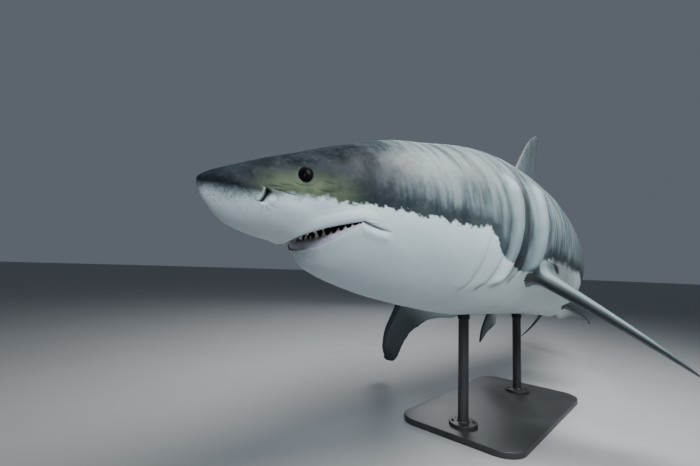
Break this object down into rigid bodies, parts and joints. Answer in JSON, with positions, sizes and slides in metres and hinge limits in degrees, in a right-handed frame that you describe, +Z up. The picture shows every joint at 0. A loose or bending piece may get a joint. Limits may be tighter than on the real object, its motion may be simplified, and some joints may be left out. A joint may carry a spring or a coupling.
{
  "type": "great white shark model",
  "caption": "Life-size great white shark in a slow right-hand swimming turn, mouth just open, held over a flat steel base by upright rods.",
  "frame": {"origin": "centre of the stand base's underside, on the floor", "axes": "+Z up; +Y from the head towards the tail; +X to the shark's left"},
  "size_m": [2.0778, 3.8339, 1.6318],
  "materials": {
    "skin": "painted skin, slate grey above and white below, satin and finely grained",
    "fin_skin": "painted skin, slate grey with dark tips, satin",
    "eye_black": "polished black",
    "gum": "wet pink gum with ivory teeth",
    "stand_steel": "satin dark grey powder coat"
  },
  "bodies": {
    "root": {"anal_fin": "fin_skin", "dorsal_fin": "fin_skin", "eye_left": "eye_black", "eye_right": "eye_black", "gill_region": "skin", "head": "skin", "lower_jaw": "skin", "lower_teeth": "gum", "pectoral_fin_left": "fin_skin", "pectoral_fin_right": "fin_skin", "pelvic_fin_left": "fin_skin", "pelvic_fin_right": "fin_skin", "second_dorsal_fin": "fin_skin", "stand_base": "stand_steel", "stand_rod_front": "stand_steel", "stand_rod_rear": "stand_steel", "tail_fin_lower": "fin_skin", "tail_fin_upper": "fin_skin", "tail_root": "skin", "tail_stalk": "skin", "trunk_front": "skin", "trunk_rear": "skin"}
  },
  "joints": []
}
